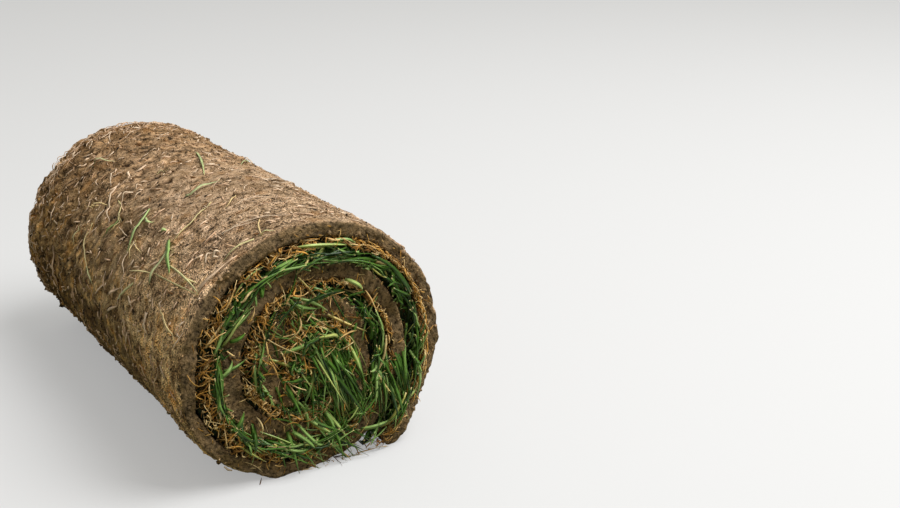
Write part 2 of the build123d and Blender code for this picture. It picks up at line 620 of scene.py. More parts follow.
# Finishes of strands: name, roughness, colour and start of the tips, and the colours by tone
STRAND_FINISHES = {
    "leaf": (
        "grass leaves", 0.30, "straw_pale", 0.91,
        (0.0, "leaf_dark"), (0.40, "leaf"), (0.74, "leaf_pale"), (0.86, "leaf_yellow"), (0.95, "straw_pale"),
    ),
    "drying leaf": (
        "drying leaves", 0.5, "straw_pale", 0.92,
        (0.0, "leaf"), (0.35, "leaf_pale"), (0.8, "leaf_dry"), (1.0, "straw_pale"),
    ),
    "fleck": (
        "straw flecks", 0.7, "chip", 0.8,
        (0.0, "straw_dark"), (0.12, "soil_rust"), (0.36, "chip"), (1.0, "chip_pale"),
    ),
    "stem": (
        "dead stems", 0.7, "straw_pale", 0.8,
        (0.0, "straw_dark"), (0.42, "straw"), (0.80, "straw_pale"), (1.0, "straw_pale"),
    ),
}


def strand_material(colours, kind):
    """A finish for leaves or stems, whose tone picks the colour and whose tips are paler. What lies between
    the turns is darker the deeper it lies behind the ends: painted shade, with a little dampness."""
    name, roughness, tip, tip_from, *tones = STRAND_FINISHES[kind]
    made = Nodes(bpy.data.materials.new(name))
    place = made.node("ShaderNodeTexCoord").outputs["Object"]
    shade = made.ramp(made.attribute("tone"), *((tone, getattr(colours, shown)) for tone, shown in tones))
    shade = made.times(shade, made.ramp(made.noise(place, 90.0), (0.35, 0.62), (0.65, 1.25)), 0.6)
    tipped = made.ramp(made.attribute("along"), (tip_from, 0), (1.0, 0.8))
    shade = made.mix("MIX", tipped, shade, getattr(colours, tip))
    # Painted shade deep between the turns, partly dampness
    shade = made.times(shade, made.ramp(made.attribute("damp"), (0.0, 1), (1.0, 0.10)))
    return made.surface(shade, roughness, 0.24, made.noise(place, 700.0), 0.0004, 0.6)


def sward_material(colours):
    """The shaded depth of the pressed grass."""
    made = Nodes(bpy.data.materials.new("pressed grass"))
    seen = made.noise(made.node("ShaderNodeTexCoord").outputs["Object"], 260.0, 5.0, 0.7)
    stops = (0.40, 0.004), (0.52, colours.leaf_dark), (0.63, colours.straw_dark), (0.80, colours.leaf)
    return made.surface(made.ramp(seen, *stops), 0.9, height=seen, distance=0.003)


def floor_material(colours):
    """A pale floor, which throws little light back on the roll."""
    made = Nodes(bpy.data.materials.new("studio floor"))
    rays = made.node("ShaderNodeLightPath").outputs
    through = made.added(rays["Is Glossy Ray"], rays["Is Transmission Ray"])
    seen = made.added(rays["Is Camera Ray"], through, use_clamp=True)
    glow = made.nodes["Principled BSDF"].inputs
    made.feed(glow["Emission Color"], made.mix("MIX", seen, 0, colours.floor))
    made.feed(glow["Emission Strength"], 0.85)
    return made.surface(made.mix("MIX", seen, colours.floor_shade, colours.floor), 0.9, 0.1)


# The soil and the pressed grass


def spun_roll(outline, arcs):
    """Spins a closed outline of (depth, y) points round the winding's arcs (first angle, last angle, length
    of a step). Returns the mesh and the angle of the winding at each of its vertices."""
    mesh = bmesh.new()
    first = arcs[0][0]
    spots = on_strip(first, np.array(outline)[:, 0], np.array(outline)[:, 1])
    corners = [mesh.verts.new(spot) for spot in spots]
    edges = [mesh.edges.new(pair) for pair in zip(corners, corners[1:] + corners[:1])]
    mesh.faces.new(corners)
    geometry = corners + edges
    turns = [first]
    for start, stop, step in arcs:
        middle = (start + stop) / 2
        radius = float(radius_at(middle))
        steps = max(2, round((stop - start) * radius / step))
        centre = on_strip(middle, radius, 0.0)
        geometry = bmesh.ops.spin(
            mesh, geom=geometry, cent=centre, axis=(0, -1, 0), angle=stop - start, steps=steps
        )["geom_last"]
        turns.extend(start + (stop - start) * (step_done + 1) / steps for step_done in range(steps))
    loop = [part for part in geometry if isinstance(part, bmesh.types.BMEdge)]
    bmesh.ops.contextual_create(mesh, geom=loop)
    bmesh.ops.recalc_face_normals(mesh, faces=mesh.faces)
    mesh.verts.index_update()
    return mesh, np.repeat(turns, len(outline))


def section_outline(sizes, columns):
    """The strip's section as (depth, y), with its points close on the soil face and closest at its edges."""
    edge = sizes.edge_radius
    flat = HALF_WIDTH - edge
    run = np.linspace(-1, 1, columns)
    face = [(0.0, flat * (t + 0.3 * math.sin(math.pi * t) / math.pi)) for t in run]
    corner = [(edge * (1 - math.cos(a)), flat + edge * math.sin(a)) for a in np.radians((30, 60, 90))]
    cut = [(depth, HALF_WIDTH) for depth in np.linspace(edge, SOIL, 5)[1:]]
    right = corner + cut + [(SOIL, flat), (SOIL, HALF_WIDTH - 0.012)]
    return face + right + [(depth, -y) for depth, y in reversed(right)]


def roll_arcs(fine, coarse, half_turns):
    """The winding's arcs: fine steps where the soil face shows, and coarse ones inside."""
    arcs = [(TAIL_TURN, 0.0, fine)]
    for half in range(half_turns):
        arcs.append((half * math.pi, (half + 1) * math.pi, fine if half < 2 else coarse))
    return arcs


# How many of these the soil has to a metre
WAVES, LUMPS, PITS, CRUMBS, TEARS, NOTCHES = 14, 62, 120, 270, 34, 48


def crumbled(place, sizes):
    """How far the soil stands out at places (length, y, depth), as long waves and as lumps, and how far its
    cut edges do."""
    waves, lumps, cuts = (np.empty(len(place)) for _ in range(3))
    rough = 0.6 + 1.5 * smooth((place[:, 1] + 0.12) / 0.28)
    for row, (spot, roughness) in enumerate(zip(map(Vector, place.tolist()), rough.tolist())):
        waves[row] = sizes.unevenness * noise.noise(spot * WAVES)
        cells = noise.voronoi(spot * CRUMBS)[0][0]
        pits = max(0.0, noise.noise(spot * PITS) - 0.28)
        lumps[row] = roughness * (
            sizes.lump_height * noise.fractal(spot * LUMPS, 0.8, 2.2, 4)
            - sizes.crumb_height * (cells - 0.4)
            - 4.5 * sizes.lump_height * pits
        )
        notches = max(0.0, noise.noise(spot * NOTCHES) - 0.22)
        cuts[row] = sizes.ragged_edge * (noise.fractal(spot * TEARS, 0.9, 2.1, 4) - 2.4 * notches)
        cuts[row] -= sizes.crumb_height * (cells - 0.4)
    return waves - hollow_at(place)[0], lumps, cuts


# Hollows in the soil face: angle in degrees, millimetres along the roll, radius and depth in millimetres
HOLLOWS = (
    (167, 65, 9, 5), (177, 86, 7, 4), (142, -23, 8, 4), (111, 18, 6, 3.5), (110, -4, 4, 2.5),
    (127, 124, 6, 4), (133, 125, 5, 3), (148, 19, 3.5, 2.5), (155, -38, 3.5, 2.5), (145, 95, 4, 3),
    (176, 136, 6, 4), (162, 158, 6, 4), (115, 80, 3.5, 2.5), (185, -42, 4, 2.5), (179, -7, 4, 2.5),
    (166, -114, 3.5, 2), (122, -102, 3, 2), (134, -70, 3.5, 2), (232, 183, 7, 2), (87, 182, 3, 2.5),
    (247, -24, 6, 2), (53, -40, 6, 3), (298, -69, 3, 2.5), (279, -86, 4, 2), (-20, -66, 4, 3),
    (20, -57, 4, 3.5), (202, 62, 4, 2.5), (208, 4, 7, 2), (286, -117, 5, 3), (239, 11, 4, 3.5),
    (40, -121, 5, 2), (245, -141, 7, 3.5), (26, 81, 3, 2.5), (59, -25, 6, 3), (245, 86, 3, 3),
    (204, -104, 4, 3), (278, -75, 5, 3), (69, 9, 5, 3), (2, 8, 6, 2.5), (72, 157, 7, 3.5), (230, -22, 6, 3.5),
    (-2, 102, 5, 2.5), (-4, 172, 6, 2), (255, -74, 3, 3.5),
)


def hollow_at(place):
    """How deep the soil face is hollowed at places (length, y, depth), and how far they are inside it."""
    rows = np.array(HOLLOWS, float)
    deep = np.zeros(len(place))
    inside = np.zeros(len(place))
    for wound, (_, y, radius, depth) in zip(winding_length(np.radians(rows[:, 0])), rows):
        away = np.hypot((place[:, 0] - wound) / 1.3, place[:, 1] - y / 1000) / (radius / 1000)
        ragged = 0.35 * np.sin(place[:, 0] * 900 + y) * np.sin(place[:, 1] * 1100 + wound * 50)
        bowl = np.exp(-np.maximum(away + ragged, 0) ** 2) * (place[:, 2] < SOIL / 2)
        deep = np.maximum(deep, depth / 1000 * bowl)
        inside = np.maximum(inside, bowl)
    return deep, inside


class TURF_OT_soil_mat(bpy.types.Operator):
    """Spin the strip's section round the winding and crumble its soil"""

    bl_idname = "turf.soil_mat"
    bl_label = "Soil mat"

    columns = 168
    steps = (0.0022, 0.0045)

    def execute(self, context):
        sizes = context.scene.turf_sizes
        mesh, turn = spun_roll(section_outline(sizes, self.columns), roll_arcs(*self.steps, 2 * FULL_TURNS))
        turn = np.minimum(turn, LAST_TURN)
        points = np.array([vertex.co for vertex in mesh.verts])
        depth = depth_of(points, turn)
        place = np.stack((winding_length(turn), points[:, 1], depth), axis=-1)
        waves, lumps, cuts = crumbled(place, sizes)
        share = depth / SOIL
        edge = smooth((np.abs(points[:, 1]) - HALF_WIDTH + 0.016) / 0.011)
        lift = waves + lumps * (1 - 2 * share) + cuts * 0.5 * edge * (0.6 - share) + wander(turn)
        lift -= (soil_at(turn) - SOIL) * share
        points += outwards(turn) * lift[:, None]
        points[:, 1] += np.sign(points[:, 1]) * edge * cuts
        for vertex, point in zip(mesh.verts, settled(points)):
            vertex.co = point
        data = finished(mesh, "soil_mat_crumbled")
        set_attribute(data, "strip_place", place, "FLOAT_VECTOR")
        set_attribute(data, "cut", smooth((depth - 0.0006) / 0.0012))
        # How far each point lies inside a hollow, which the soil's finish darkens as painted shade
        set_attribute(data, "hollow_shade", hollow_at(place)[1])
        data.shade_smooth()
        new_piece("soil_mat_crumbled", data, soil_material(context.scene.turf_colours), "soil", "soil_mat")
        return {"FINISHED"}


class TURF_OT_sward(bpy.types.Operator):
    """Fill the turns with the pressed grass that the leaves and stems stand in"""

    bl_idname = "turf.sward"
    bl_label = "Pressed grass"

    recess, bulge = 0.010, 0.002
    step = 0.006
    core_radius, core_sides = 0.031, 40
    core_place = (-0.005, 0, AXIS_HEIGHT + 0.004)

    def execute(self, context):
        end = HALF_WIDTH - self.recess
        middle, out = (SOIL + PITCH) / 2, end + self.bulge
        outline = [(SOIL, -end), (SOIL, end), (middle, out), (PITCH, end), (PITCH, -end), (middle, -out)]
        mesh, turn = spun_roll(outline, roll_arcs(self.step, self.step, 2 * FULL_TURNS - 2))
        points = np.array([vertex.co for vertex in mesh.verts])
        share = (depth_of(points, turn) - SOIL) / (PITCH - SOIL)
        points += outwards(turn) * (wander(turn) * (1 - share) + wander(turn + math.tau) * share)[:, None]
        for vertex, point in zip(mesh.verts, points):
            vertex.co = point
        core = bmesh.ops.create_cone(
            mesh, cap_ends=True, segments=self.core_sides,
            radius1=self.core_radius, radius2=self.core_radius, depth=2 * end,
        )["verts"]
        bmesh.ops.rotate(mesh, verts=core, cent=(0, 0, 0), matrix=Euler((math.pi / 2, 0, 0)).to_matrix())
        bmesh.ops.translate(mesh, verts=core, vec=self.core_place)
        for vertex in mesh.verts:
            vertex.co = settled(np.array(vertex.co))
        data = finished(mesh, "pressed_grass")
        new_piece("pressed_grass", data, sward_material(context.scene.turf_colours), "grass", "grass")
        return {"FINISHED"}


# The ends of the roll


class TURF_OT_stems(bpy.types.Operator):
    """Tangle dead stems along the foot of the grass at both ends"""

    bl_idname = "turf.stems"
    bl_label = "Dead stems"

    rings, jut, point = 6, 0.006, 0.6
    last_turn = CORE_END - 0.4
    inset = (-0.002, 0.012)
    reach, longer = (0.004, 0.012), 0.016
    slant, bend, wave = 0.9, 2.0, 0.0020
    thinnest, flatness = 0.30, (0.15, 0.5)

    def execute(self, context):
        sizes = context.scene.turf_sizes
        finish = strand_material(context.scene.turf_colours, "stem")
        count = sizes.stems_per_end
        for end, label, random in ends(11):
            turn = spread_turns(random, count, TAIL_TURN, self.last_turn)
            foot = soil_at(turn)
            thatch = (gap_at(turn) - foot) * thatch_at(turn)
            first_depth = foot + thatch * random.uniform(0.0, 1.0, count)
            last_depth = foot + thatch * random.uniform(-0.05, 1.25, count)
            inset = random.uniform(*self.inset, count)
            reach = random.uniform(*self.reach, count) + self.longer * random.random(count) ** 3
            heading = random.choice((0, math.pi), count) + random.normal(0, self.slant, count)
            bend = random.normal(0, self.bend, count)
            wave = random.uniform(0.0, self.wave, count)
            paths, facing = pressed_paths(
                random, end, turn, (first_depth, last_depth), inset, reach, heading, bend, wave,
                self.rings, self.jut,
            )
            spread = (1 - self.thinnest) * random.random(count) ** 1.8
            width = sizes.stem_width * (self.thinnest + spread)
            tone = random.beta(1.0, 1.7, count)
            flatness = random.uniform(*self.flatness, count)
            twist = random.uniform(0, math.pi, count)
            name = f"dead_stems_{label}"
            strand_piece(name, finish, "grass", paths, facing, width, flatness, twist, tone, self.point)
        return {"FINISHED"}


class TURF_OT_leaves(bpy.types.Operator):
    """Press green leaves between the turns at both ends"""

    bl_idname = "turf.leaves"
    bl_label = "Pressed leaves"

    # Share of the leaves, first and last angle of the winding, and share of them that lie across it
    stretches = ((0.76, TAIL_TURN, 7.0, 0.28), (0.24, 7.0, CORE_END - 0.2, 0.62))
    rings, jut, point = 8, 0.008, 0.45
    slant_across, reach_across, inset_across = 0.7, (0.010, 0.032), (0.003, 0.016)
    slant_along, reach_along, inset_along = 0.46, (0.2, 1.0), (-0.004, 0.011)
    forwards = 0.75
    bend, wave = 0.3, 0.0008
    widths = (0.35, 1.0)

    def execute(self, context):
        sizes = context.scene.turf_sizes
        finish = strand_material(context.scene.turf_colours, "leaf")
        for end, label, random in ends(21):
            parts = [(round(sizes.leaves_per_end * share), *stretch) for share, *stretch in self.stretches]
            turn = np.concatenate([spread_turns(random, part, first, last) for part, first, last, _ in parts])
            across = np.concatenate([np.full(part, aside) for part, _, _, aside in parts])
            count = len(turn)
            foot = soil_at(turn)
            room = gap_at(turn) - foot
            low = 0.15 + 0.65 * thatch_at(turn)
            sideways = random.random(count) < across
            first_depth = foot + room * random.uniform(low, 0.97)
            last_depth = foot + room * random.uniform(low - 0.1, np.where(sideways, 1.25, 1.0))
            heading = np.where(
                sideways,
                math.pi / 2 + random.normal(0, self.slant_across, count),
                np.where(random.random(count) < self.forwards, 0.0, math.pi)
                + random.normal(0, self.slant_along, count),
            )
            reach = np.where(
                sideways,
                random.uniform(*self.reach_across, count),
                sizes.leaf_length * random.uniform(*self.reach_along, count),
            )
            inset = np.where(
                sideways,
                random.uniform(*self.inset_across, count),
                random.uniform(*self.inset_along, count),
            )
            bend = random.normal(0, self.bend, count)
            wave = random.uniform(0.0, self.wave, count)
            paths, facing = pressed_paths(
                random, end, turn, (first_depth, last_depth), inset, reach, heading, bend, wave,
                self.rings, self.jut,
            )
            width = sizes.leaf_width * random.uniform(*self.widths, count)
            tone = random.beta(0.7, 1.8, count)
            twist = random.normal(1.2, 0.7, count)
            name = f"pressed_leaves_{label}"
            strand_piece(name, finish, "grass", paths, facing, width, LEAF_FLATNESS, twist, tone, self.point)
        return {"FINISHED"}


# Tufts that hang over an end face: leaves, and source and target as (x, height over the axis, spread)
NEAR_TUFTS = (
    (40, (0.002, 0.022, 0.006), (0.028, -0.054, 0.008)),
    (26, (-0.002, 0.014, 0.006), (0.014, -0.046, 0.010)),
    (18, (0.018, 0.014, 0.006), (0.035, -0.048, 0.006)),
    (14, (-0.018, 0.000, 0.008), (-0.010, -0.040, 0.010)),
    (24, (0.054, -0.012, 0.005), (0.064, -0.062, 0.008)),
    (16, (0.072, -0.006, 0.005), (0.074, -0.048, 0.004)),
    (12, (0.066, -0.030, 0.005), (0.068, -0.062, 0.005)),
    (18, (-0.006, -0.046, 0.010), (0.030, -0.082, 0.012)),
    (12, (-0.030, -0.056, 0.012), (-0.016, -0.084, 0.012)),
    (8, (-0.062, -0.044, 0.008), (-0.056, -0.068, 0.008)),
)
FAR_TUFTS = (
    (40, (-0.002, 0.016, 0.008), (-0.014, -0.050, 0.012)),
    (20, (0.060, 0.000, 0.010), (0.070, -0.060, 0.010)),
    (20, (-0.062, -0.020, 0.010), (-0.060, -0.066, 0.010)),
    (20, (0.010, -0.056, 0.014), (0.020, -0.084, 0.014)),
)


class TURF_OT_tufts(bpy.types.Operator):
    """Hang long leaves out of the core and the gaps, over both ends"""

    bl_idname = "turf.tufts"
    bl_label = "Hanging tufts"

    rings, point = 11, 0.2
    inside, bulge, rest = (0.004, 0.016), (0.008, 0.016), 0.004
    widths = (0.45, 1.0)

    def execute(self, context):
        sizes = context.scene.turf_sizes
        finish = strand_material(context.scene.turf_colours, "leaf")
        for end, label, random in ends(31):
            paths = np.concatenate([
                draped_paths(
                    random, end, self.rings, count, source, target,
                    random.uniform(*self.inside), random.uniform(*self.bulge), self.rest,
                )
                for count, source, target in (NEAR_TUFTS if end == NEAR else FAR_TUFTS)
            ])
            count = len(paths)
            width = sizes.leaf_width * random.uniform(*self.widths, count)
            tone = 0.9 * random.beta(1.2, 1.4, count)
            twist = random.normal(0, 0.5, (count, 1))
            twist = twist + random.normal(0, 0.8, (count, 1)) * np.linspace(0, 1, self.rings)
            name = f"hanging_leaves_{label}"
            facing = (0.0, end, 0.3)
            strand_piece(name, finish, "grass", paths, facing, width, LEAF_FLATNESS, twist, tone, self.point)
        return {"FINISHED"}


# What is strewn over an end face: name, count, rings, widest, mean tone, middle (x, height over the axis),
# spread, lengths, heading and its scatter, and how far in front it lies
STREWN = (
    (
        "strewn_leaves", 110, 8, 0.0030, 0.42,
        (-0.002, 0.020), 0.019, (0.012, 0.045), (-1.1, 0.8), (-0.004, 0.006),
    ),
    (
        "strewn_low_leaves", 90, 8, 0.0030, 0.42,
        (0.010, -0.050), 0.022, (0.014, 0.050), (-0.5, 0.7), (-0.004, 0.005),
    ),
    (
        "strewn_stems", 300, 6, 0.0017, 0.40,
        (-0.004, 0.016), 0.024, (0.006, 0.026), (-1.2, 1.2), (-0.005, 0.006),
    ),
    (
        "strewn_low_stems", 170, 6, 0.0015, 0.36,
        (0.006, -0.052), 0.026, (0.006, 0.024), (-0.4, 1.2), (-0.005, 0.004),
    ),
)

# Single leaves and stems on the near end, each through three places across and up, in millimetres
PLACED_LEAVES = (
    (-81, 26, -67, 43, -49, 54), (-69, 38, -59, 45, -51, 51), (-60, 46, -53, 56, -47, 63),
    (-65, 62, -54, 76, -39, 83), (-37, 76, -26, 83, -13, 85), (-13, 92, 3, 93, 35, 86),
    (-2, 82, 10, 82, 25, 78), (13, 92, 27, 92, 36, 87), (-82, 3, -74, 10, -68, 16), (-30, 12, -14, 16, 3, 19),
    (-39, 9, -27, 3, -17, -6), (-8, 24, 4, -5, 25, -55), (-3, 14, 19, -14, 34, -58),
    (24, 0, 37, -24, 33, -59), (10, 12, 10, -6, 17, -27), (3, 17, 2, 8, 7, -6), (-1, -4, -7, -19, -14, -36),
    (-46, -10, -40, -22, -35, -38), (-13, -44, 5, -61, 35, -86), (-23, -27, -13, -39, -11, -59),
    (59, 0, 63, -32, 69, -66), (82, -12, 88, -32, 85, -56), (52, -16, 48, -36, 49, -56),
    (74, -57, 80, -50, 88, -43), (36, -69, 49, -67, 64, -67), (-18, 54, -4, 49, 9, 39),
    (-4, 60, 7, 55, 16, 50), (-20, 53, -12, 47, 6, 41), (26, 60, 34, 56, 40, 48), (-76, 9, -68, 11, -57, 14),
    (-69, 30, -63, 32, -57, 35), (-71, -43, -66, -35, -61, -28), (-19, -49, -6, -67, 2, -70),
    (-20, 53, -15, 47, -9, 40),
)
PLACED_STEMS = (
    (-19, 89, -10, 90, -2, 82), (-55, 43, -52, 48, -48, 54), (-73, 25, -70, 22, -66, 19),
    (-39, 8, -35, 0, -32, -9), (-22, 53, -20, 45, -14, 39), (-14, 40, -16, 29, -31, 19),
    (-33, -24, -26, -23, -18, -29), (-103, 12, -92, 3, -75, 24), (-74, 54, -69, 63, -62, 78),
    (-88, 30, -80, 41, -69, 52), (-52, -35, -49, -42, -49, -53), (-56, -15, -46, -29, -25, -51),
    (-44, 34, -42, 20, -41, 6), (-40, 22, -36, 27, -31, 36), (-46, 12, -42, 8, -36, 4),
)


class TURF_OT_strewn(bpy.types.Operator):
    """Strew leaves and stems over the core at both ends, and place the single ones that stand out"""

    bl_idname = "turf.strewn"
    bl_label = "Strewn leaves"

    flatness = 0.16
    strewn_widths, strewn_point = (0.3, 1.0), 0.35
    placed_rings, placed_lift = 10, (0.001, 0.006)
    placed_widths, placed_tones, placed_point = (0.7, 1.0), (0.35, 0.80), 0.3

    def execute(self, context):
        sizes = context.scene.turf_sizes
        green, dead = (strand_material(context.scene.turf_colours, kind) for kind in ("leaf", "stem"))
        for end, label, random in ends(71):
            for name, count, rings, widest, shade, middle, spread, reach, heading, lift in STREWN:
                paths = strewn_paths(random, end, rings, count, middle, spread, reach, heading, lift)
                width = widest * random.uniform(*self.strewn_widths, count)
                tone = np.clip(random.normal(shade, 0.28, count), 0, 1)
                twist = random.normal(0, 0.9, count)
                finish = dead if "stems" in name else green
                facing = (0.0, end, 0.2)
                strand_piece(
                    f"{name}_{label}", finish, "grass", paths, facing, width, self.flatness, twist, tone,
                    self.strewn_point,
                )
        random = np.random.default_rng(73)
        for name, places, widest, finish in (
            ("placed_leaves", PLACED_LEAVES, sizes.leaf_width, green),
            ("placed_stems", PLACED_STEMS, sizes.stem_width * 1.2, dead),
        ):
            paths = placed_paths(random, NEAR, self.placed_rings, places, self.placed_lift)
            width = widest * random.uniform(*self.placed_widths, len(paths))
            tone = random.uniform(*self.placed_tones, len(paths))
            twist = random.normal(0, 0.4, len(paths))
            facing = (0.0, NEAR, 0.3)
            strand_piece(
                name, finish, "grass", paths, facing, width, self.flatness, twist, tone, self.placed_point
            )
        return {"FINISHED"}


class TURF_OT_root_ends(bpy.types.Operator):
    """Let cut roots stick out of the cut soil at both ends"""

    bl_idname = "turf.root_ends"
    bl_label = "Root ends"

    rings, jut, point = 4, 0.004, 0.6
    last_turn = CORE_END - 0.2
    reach, inset, bend = (0.002, 0.007), (-0.001, 0.002), 0.8
    widths = (0.25, 0.65)

    def execute(self, context):
        sizes = context.scene.turf_sizes
        finish = strand_material(context.scene.turf_colours, "stem")
        count = sizes.root_ends
        for end, label, random in ends(81):
            turn = spread_turns(random, count, TAIL_TURN, self.last_turn)
            soil = soil_at(turn)
            depth = (soil * random.uniform(0.3, 1.05, count), soil * random.uniform(0.3, 1.1, count))
            reach = random.uniform(*self.reach, count)
            heading = random.uniform(0, math.tau, count)
            inset = random.uniform(*self.inset, count)
            bend = random.normal(0, self.bend, count)
            wave = np.zeros(count)
            paths, facing = pressed_paths(
                random, end, turn, depth, inset, reach, heading, bend, wave, self.rings, self.jut
            )
            width = sizes.stem_width * random.uniform(*self.widths, count)
            tone = np.clip(random.normal(0.42, 0.26, count), 0, 1)
            twist = random.uniform(0, math.pi, count)
            name = f"root_ends_{label}"
            strand_piece(name, finish, "soil", paths, facing, width, ROOT_FLATNESS, twist, tone, self.point)
        return {"FINISHED"}


# The soil face

# Bits and roots: name, rings, lengths, widths, scatter of the slant, first and last angle, and y
ROOTS = (
    ("straw_flecks", 3, (0.0022, 0.015), (0.0008, 0.0022), 0.75, (TAIL_TURN, SEEN_END), (-0.198, 0.198)),
    ("root_fibres", 12, (0.015, 0.055), (0.0004, 0.0008), 0.5, (TAIL_TURN, SEEN_END), (-0.196, 0.196)),
    ("rim_roots", 10, (0.010, 0.040), (0.0005, 0.0012), 0.45, (0.8, 4.2), (0.172, 0.199)),
)


class TURF_OT_roots(bpy.types.Operator):
    """Strew bits of straw and pale roots over the soil face"""

    bl_idname = "turf.roots"
    bl_label = "Roots and straw"

    lift = (-0.0004, 0.0008)
    point = 0.6

    def execute(self, context):
        sizes = context.scene.turf_sizes
        finish = strand_material(context.scene.turf_colours, "fleck")
        random = np.random.default_rng(41)
        counts = (sizes.flecks, sizes.fibres, sizes.rim_roots)
        for (label, rings, lengths, widths, scatter, turns, sides), count in zip(ROOTS, counts):
            turn = spread_turns(random, count, *turns)
            y = random.uniform(*sides, count)
            reach = lengths[0] + (lengths[1] - lengths[0]) * random.random(count) ** 1.6
            slant = random.normal(0, scatter, (count, 1)) + random.normal(0, 0.13, (count, 1)) * (-1, 0, 1)
            along = np.degrees(reach[:, None] * np.cos(slant) / ROLL_RADIUS) * (0, 0.5, 1)
            aside = reach[:, None] * np.sin(slant) * (0, 0.5, 1)
            places = np.stack((np.degrees(turn)[:, None] + along, (y[:, None] + aside) * 1000), axis=-1)
            paths, facing = lying_paths(rings, places, random.uniform(*self.lift, count), sizes)
            tone = np.clip(random.normal(0.56, 0.26, count), 0, 1)
            width = random.uniform(*widths, count)
            twist = random.normal(0, 0.5, count)
            strand_piece(
                label, finish, "soil", paths, facing, width, ROOT_FLATNESS, twist, tone, self.point,
                between_turns=False,
            )
        return {"FINISHED"}


# Loose leaves and straws: seen width in tenths of a millimetre, then three places, each an angle in degrees
# round the roll and millimetres along it
LOOSE_LEAVES = (
    (13, 151, 63, 156, 59, 163, 67), (14, 135, 9, 140, -5, 148, 6), (12, 146, 42, 157, 29, 170, -1),
    (20, 126, -33, 137, -45, 147, -49), (8, 141, -56, 142, -66, 143, -76),
    (15, 108, -91, 123, -106, 134, -108), (17, 134, -108, 146, -114, 151, -112),
    (24, 132, -99, 137, -119, 143, -135), (10, 152, -69, 149, -91, 146, -114),
    (12, 146, -114, 144, -156, 142, -192), (12, 140, -125, 140, -165, 142, -190),
    (11, 142, -161, 140, -168, 139, -179), (17, 84, 56, 90, 12, 97, -27), (17, 112, -55, 105, -57, 95, -52),
    (8, 138, 49, 140, 60, 142, 75), (10, 125, 126, 120, 118, 116, 102), (12, 110, 24, 107, 24, 104, 21),
    (13, 156, -149, 159, -170, 163, -191), (13, 164, 18, 166, 5, 170, -1), (12, 155, -85, 161, -76, 167, -57),
    (9, 103, -165, 107, -180, 109, -194), (13, 110, -190, 107, -193, 104, -195),
    (12, 112, -190, 119, -188, 127, -186), (18, 131, -79, 130, -81, 129, -86),
    (9, 98, -97, 102, -108, 107, -116), (13, 60, 40, 66, 22, 72, 10), (12, 40, -120, 45, -108, 52, -90),
    (14, 30, 90, 27, 74, 22, 60), (19, 138, -1, 142, 0, 148, 5), (13, 131, 23, 134, 4, 140, -6),
    (9, 141, 67, 137, 48, 135, 23), (15, 130, -40, 131, -53, 129, -57), (13, 140, -53, 144, -56, 148, -60),
)
LOOSE_STRAWS = (
    (17, 124, 53, 135, 28, 142, 9), (14, 124, 16, 127, 20, 131, 16), (14, 138, 34, 142, 31, 146, 31),
    (14, 146, -51, 151, -55, 155, -65), (9, 140, -9, 141, -21, 141, -34),
    (19, 142, -188, 135, -192, 123, -194), (20, 169, 119, 182, 112, 194, 112),
    (18, 117, 61, 118, 53, 120, 44), (10, 119, 84, 124, 70, 128, 57), (17, 122, 17, 120, 19, 118, 16),
    (22, 118, -2, 117, -10, 115, -13), (12, 153, -142, 154, -145, 156, -149),
    (13, 164, -186, 162, -192, 155, -195), (15, 161, -126, 166, -127, 169, -133),
    (18, 188, -110, 190, -119, 196, -117), (20, 183, -152, 190, -147, 199, -137),
    (14, 178, -147, 180, -149, 182, -150), (18, 170, -41, 165, -50, 161, -62),
    (18, 175, -39, 172, -52, 169, -61), (15, 161, -84, 162, -90, 164, -95), (17, 166, -21, 169, -17, 174, -7),
    (13, 158, -188, 155, -190, 153, -191), (14, 159, -188, 159, -191, 160, -194),
    (8, 119, -154, 111, -162, 103, -165), (10, 171, 86, 179, 93, 187, 91), (12, 145, 97, 149, 99, 155, 113),
    (14, 60, -60, 66, -70, 75, -72), (12, 48, 60, 52, 80, 50, 95), (15, 25, -30, 30, -48, 38, -52),
    (13, 12, 120, 20, 128, 26, 122), (10, 109, -122, 97, -122, 85, -126),
    (10, 119, -152, 105, -163, 86, -180), (14, 78, -67, 70, -60, 62, -59),
    (14, 127, -171, 125, -171, 124, -174), (12, 128, -174, 127, -175, 126, -178),
    (12, 79, -31, 77, -41, 74, -49), (10, 131, -169, 128, -165, 126, -165),
)


class TURF_OT_loose_leaves(bpy.types.Operator):
    """Lay loose leaves and straws on the soil face"""

    bl_idname = "turf.loose_leaves"
    bl_label = "Loose leaves"

    rings, point, flatness = 12, 0.3, 0.25
    lift = (0.0014, 0.0030)

    def execute(self, context):
        random = np.random.default_rng(51)
        for name, table, seen, dry, kind, slot in (
            ("loose_leaves", LOOSE_LEAVES, 1.8e-4, 1.4, "drying leaf", "grass"),
            ("loose_straws", LOOSE_STRAWS, 1.6e-4, 1.55, "fleck", "soil"),
        ):
            finish = strand_material(context.scene.turf_colours, kind)
            rows = np.array(table, float)
            count = len(rows)
            lift = random.uniform(*self.lift, count)
            paths, facing = lying_paths(self.rings, rows[:, 1:], lift, context.scene.turf_sizes)
            twist = random.normal(0, 0.3, count)
            tone = np.clip(dry - rows[:, 0] / 23 + random.uniform(-0.15, 0.15, count), 0, 1)
            width = rows[:, 0] * seen
            strand_piece(
                name, finish, slot, paths, facing, width, self.flatness, twist, tone, self.point,
                between_turns=False,
            )
        return {"FINISHED"}


